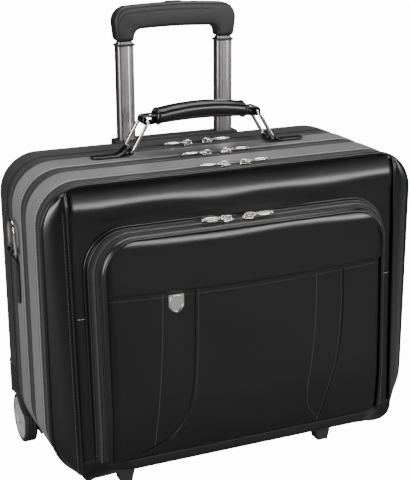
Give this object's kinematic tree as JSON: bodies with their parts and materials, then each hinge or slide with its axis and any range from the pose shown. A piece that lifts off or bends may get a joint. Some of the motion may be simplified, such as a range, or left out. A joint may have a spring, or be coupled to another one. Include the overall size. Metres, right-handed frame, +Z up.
{
  "type": "rolling laptop case",
  "caption": "Wheeled leather laptop case with stacked zipped sections, an arched front pocket, a padded carry handle and a telescopic trolley handle.",
  "frame": {"origin": "on the floor under the centre of the case's bounding box, trolley handle partly pulled out as stored", "axes": "+Z up; +Y from the front pocket to the rear wall with the trolley; +X to the right seen from the front"},
  "size_m": [0.45, 0.243, 0.5122],
  "materials": {
    "black_leather": "smooth semi-gloss black leather",
    "band_leather": "smooth black leather strip, satin",
    "lining_nylon": "black woven nylon",
    "zip_tape": "black ribbed zip tape",
    "nickel": "polished nickel plate",
    "tube_steel": "bright drawn tube, slightly smoked",
    "black_plastic": "moulded, fine grain",
    "rubber": "satin",
    "hub_plastic": "moulded grey"
  },
  "bodies": {
    "root": {"main_shell": "lining_nylon", "main_front_tape": "zip_tape", "main_band": "band_leather", "rear_zip_tape": "zip_tape", "rear_shell": "lining_nylon", "base_board": "black_plastic", "foot_left": "rubber", "foot_right": "rubber", "wheel_housing_left": "black_plastic", "wheel_housing_right": "black_plastic", "axle_left": "nickel", "axle_right": "nickel", "outer_tube_left": "tube_steel", "outer_tube_right": "tube_steel", "tube_bezel": "black_plastic", "handle_chape_left": "black_leather", "handle_chape_right": "black_leather", "ring_chape_left": "black_leather", "ring_chape_right": "black_leather"},
    "front_section": {"section_shell": "lining_nylon", "section_front_tape": "zip_tape", "section_band": "band_leather", "section_rear_tape": "zip_tape"},
    "front_lid": {"lid_panel": "black_leather", "lid_zip_tape": "zip_tape", "lid_organiser": "lining_nylon", "pocket_shell": "black_leather", "pocket_zip_tape": "zip_tape", "shield_plate": "nickel"},
    "trolley_middle": {"middle_tube_left": "tube_steel", "middle_tube_right": "tube_steel", "collar_left": "black_plastic", "collar_right": "black_plastic"},
    "trolley_handle": {"inner_tube_left": "tube_steel", "inner_tube_right": "tube_steel", "trolley_grip": "black_plastic"},
    "push_button": {"push_button": "black_plastic"},
    "wheel_left": {"tyre_left": "rubber", "hub_left": "hub_plastic"},
    "wheel_right": {"tyre_right": "rubber", "hub_right": "hub_plastic"},
    "handle_loop_left": {"handle_loop_left": "nickel"},
    "handle_loop_right": {"handle_loop_right": "nickel"},
    "carry_grip": {"handle_grip": "black_leather"},
    "strap_ring_left": {"strap_ring_left": "nickel"},
    "strap_ring_right": {"strap_ring_right": "nickel"},
    "slider_lid_left": {"slider_lid_left": "nickel"},
    "pull_lid_left": {"pull_lid_left": "nickel"},
    "slider_lid_right": {"slider_lid_right": "nickel"},
    "pull_lid_right": {"pull_lid_right": "nickel"},
    "slider_section_left": {"slider_section_left": "nickel"},
    "pull_section_left": {"pull_section_left": "nickel"},
    "slider_section_right": {"slider_section_right": "nickel"},
    "pull_section_right": {"pull_section_right": "nickel"},
    "slider_rear_left": {"slider_rear_left": "nickel"},
    "slider_rear_right": {"slider_rear_right": "nickel"},
    "slider_pocket_left": {"slider_pocket_left": "nickel"},
    "pull_pocket_left": {"pull_pocket_left": "nickel"},
    "slider_pocket_right": {"slider_pocket_right": "nickel"},
    "pull_pocket_right": {"pull_pocket_right": "nickel"}
  },
  "joints": [
    {"name": "section_open", "type": "hinge", "parent": "root", "child": "front_section", "pos_m": [0, -0.0625, 0.027], "axis": [1, 0, 0], "range_deg": [0, 15]},
    {"name": "lid_open", "type": "hinge", "parent": "front_section", "child": "front_lid", "pos_m": [0, -0.0625, 0.027], "axis": [1, 0, 0], "range_deg": [0, 45]},
    {"name": "middle_stage", "type": "slide", "parent": "root", "child": "trolley_middle", "axis": [0, 0, 1], "range_m": [-0.106, 0.15]},
    {"name": "inner_stage", "type": "slide", "parent": "trolley_middle", "child": "trolley_handle", "axis": [0, 0, 1], "range_m": [0, 0.26]},
    {"name": "button_press", "type": "slide", "parent": "trolley_handle", "child": "push_button", "axis": [0, 0, -1], "range_m": [0, 0.003], "stiffness_N_per_m": 400},
    {"name": "wheel_spin_left", "type": "hinge", "parent": "root", "child": "wheel_left", "pos_m": [-0.2005, 0.0915, 0.03], "axis": [1, 0, 0], "continuous": true},
    {"name": "wheel_spin_right", "type": "hinge", "parent": "root", "child": "wheel_right", "pos_m": [0.2005, 0.0915, 0.03], "axis": [1, 0, 0], "continuous": true},
    {"name": "handle_loop_swing_left", "type": "hinge", "parent": "root", "child": "handle_loop_left", "pos_m": [-0.086, 0.022, 0.361], "axis": [0, 1, 0], "range_deg": [-9, 9]},
    {"name": "handle_loop_swing_right", "type": "hinge", "parent": "root", "child": "handle_loop_right", "pos_m": [0.086, 0.022, 0.361], "axis": [0, 1, 0], "range_deg": [-9, 9]},
    {"name": "handle_grip_tilt", "type": "hinge", "parent": "handle_loop_left", "child": "carry_grip", "pos_m": [-0.06643, 0.022, 0.39357], "axis": [0, 1, 0], "range_deg": [-12, 12]},
    {"name": "strap_ring_swing_left", "type": "hinge", "parent": "root", "child": "strap_ring_left", "pos_m": [-0.221, 0.022, 0.262], "axis": [0, -1, 0], "range_deg": [0, 165]},
    {"name": "strap_ring_swing_right", "type": "hinge", "parent": "root", "child": "strap_ring_right", "pos_m": [0.221, 0.022, 0.262], "axis": [0, 1, 0], "range_deg": [0, 165]},
    {"name": "zip_lid_left", "type": "slide", "parent": "front_section", "child": "slider_lid_left", "axis": [1, 0, 0], "range_m": [-0.12, 0]},
    {"name": "pull_lift_lid_left", "type": "hinge", "parent": "slider_lid_left", "child": "pull_lid_left", "pos_m": [-0.008, -0.0625, 0.3569], "axis": [0, 1, 0], "range_deg": [0, 110]},
    {"name": "zip_lid_right", "type": "slide", "parent": "front_section", "child": "slider_lid_right", "axis": [1, 0, 0], "range_m": [0, 0.12]},
    {"name": "pull_lift_lid_right", "type": "hinge", "parent": "slider_lid_right", "child": "pull_lid_right", "pos_m": [0.015, -0.0625, 0.3569], "axis": [0, -1, 0], "range_deg": [0, 110]},
    {"name": "zip_section_left", "type": "slide", "parent": "front_section", "child": "slider_section_left", "axis": [1, 0, 0], "range_m": [-0.12, 0]},
    {"name": "pull_lift_section_left", "type": "hinge", "parent": "slider_section_left", "child": "pull_section_left", "pos_m": [-0.004, -0.0055, 0.3569], "axis": [0, 1, 0], "range_deg": [0, 110]},
    {"name": "zip_section_right", "type": "slide", "parent": "front_section", "child": "slider_section_right", "axis": [1, 0, 0], "range_m": [0, 0.12]},
    {"name": "pull_lift_section_right", "type": "hinge", "parent": "slider_section_right", "child": "pull_section_right", "pos_m": [0.019, -0.0055, 0.3569], "axis": [0, -1, 0], "range_deg": [0, 110]},
    {"name": "zip_rear_left", "type": "slide", "parent": "root", "child": "slider_rear_left", "axis": [1, 0, 0], "range_m": [-0.12, 0]},
    {"name": "zip_rear_right", "type": "slide", "parent": "root", "child": "slider_rear_right", "axis": [1, 0, 0], "range_m": [0, 0.12]},
    {"name": "zip_pocket_left", "type": "slide", "parent": "front_lid", "child": "slider_pocket_left", "axis": [1, 0, 0], "range_m": [-0.08, 0]},
    {"name": "pull_lift_pocket_left", "type": "hinge", "parent": "slider_pocket_left", "child": "pull_pocket_left", "pos_m": [-0.0215, -0.10038, 0.30886], "axis": [0, 0.9377, 0.3473], "range_deg": [0, 110]},
    {"name": "zip_pocket_right", "type": "slide", "parent": "front_lid", "child": "slider_pocket_right", "axis": [1, 0, 0], "range_m": [0, 0.09]},
    {"name": "pull_lift_pocket_right", "type": "hinge", "parent": "slider_pocket_right", "child": "pull_pocket_right", "pos_m": [0.0015, -0.10038, 0.30886], "axis": [0, -0.9377, -0.3473], "range_deg": [0, 110]}
  ],
  "couplings": [
    {"joint": "handle_loop_swing_right", "follows": "handle_loop_swing_left", "ratio": 1},
    {"joint": "handle_grip_tilt", "follows": "handle_loop_swing_left", "ratio": -1.2946}
  ]
}
